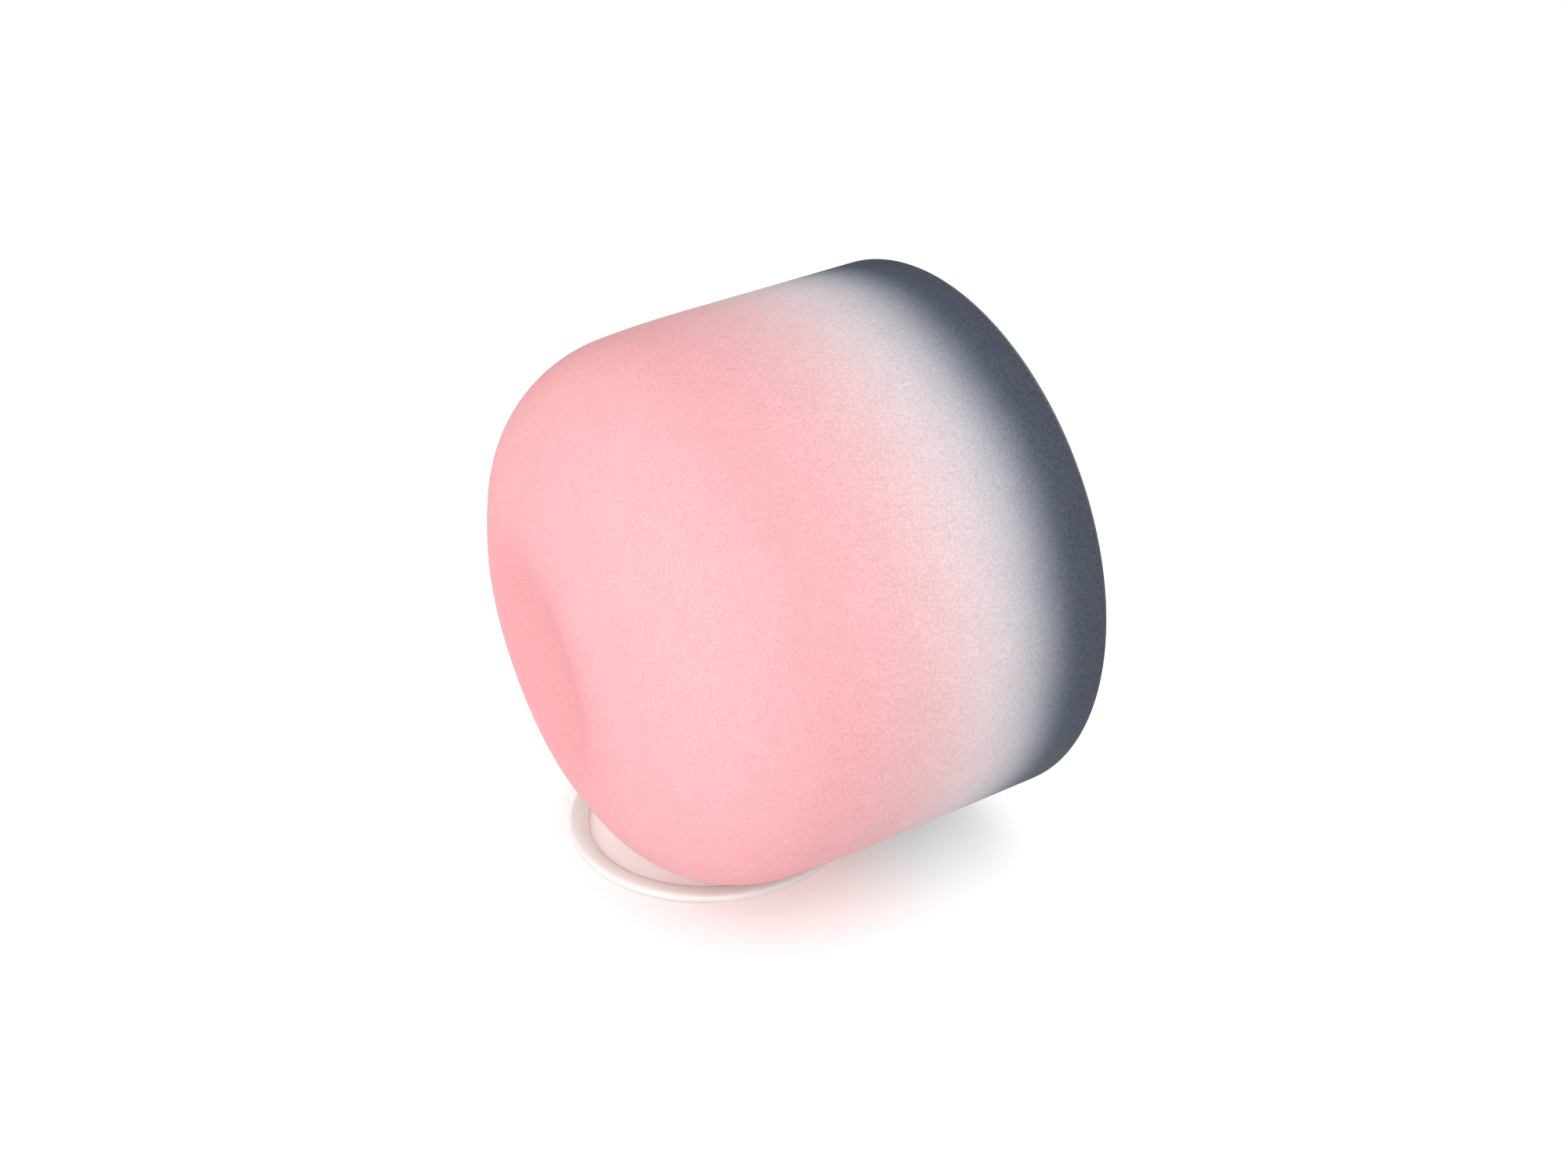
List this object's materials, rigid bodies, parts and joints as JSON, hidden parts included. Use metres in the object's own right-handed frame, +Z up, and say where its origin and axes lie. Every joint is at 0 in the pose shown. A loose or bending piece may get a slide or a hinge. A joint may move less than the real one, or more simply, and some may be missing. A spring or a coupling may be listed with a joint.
{
  "type": "silicone cupping cup",
  "caption": "Soft bell-shaped suction massage cup with a domed press crown, banded wall and rounded lip, lying on a thin clear stand ring.",
  "frame": {"origin": "on the surface that the part stands on, under the middle of the whole object's box", "axes": "+Z up, square to the stand ring's underside; the cup's axis lies in the XZ plane, its closed end towards -X and its mouth towards +X, tipped 6.1 degrees up at the mouth"},
  "size_m": [0.0592, 0.0718, 0.0738],
  "materials": {
    "slate_silicone": "frosted matte silicone, slate grey",
    "white_silicone": "frosted matte silicone, lilac white, fading into its neighbours",
    "pink_silicone": "frosted matte silicone, soft pink",
    "clear_ring": "milky clear, smooth"
  },
  "bodies": {
    "ring": {"stand_ring": "clear_ring"},
    "cup": {"rim_lip": "slate_silicone", "mid_band": "white_silicone", "bulb_wall": "pink_silicone", "flex_shoulder": "pink_silicone"},
    "crown": {"crown_pad": "pink_silicone"}
  },
  "joints": [
    {"name": "cup_lift", "type": "slide", "parent": "ring", "child": "cup", "axis": [0, 0, 1], "range_m": [0, 0.08]},
    {"name": "crown_press", "type": "slide", "parent": "cup", "child": "crown", "axis": [0.9943, 0, 0.1063], "range_m": [0, 0.01], "stiffness_N_per_m": 1500, "deforming": ["flex_shoulder"]}
  ]
}
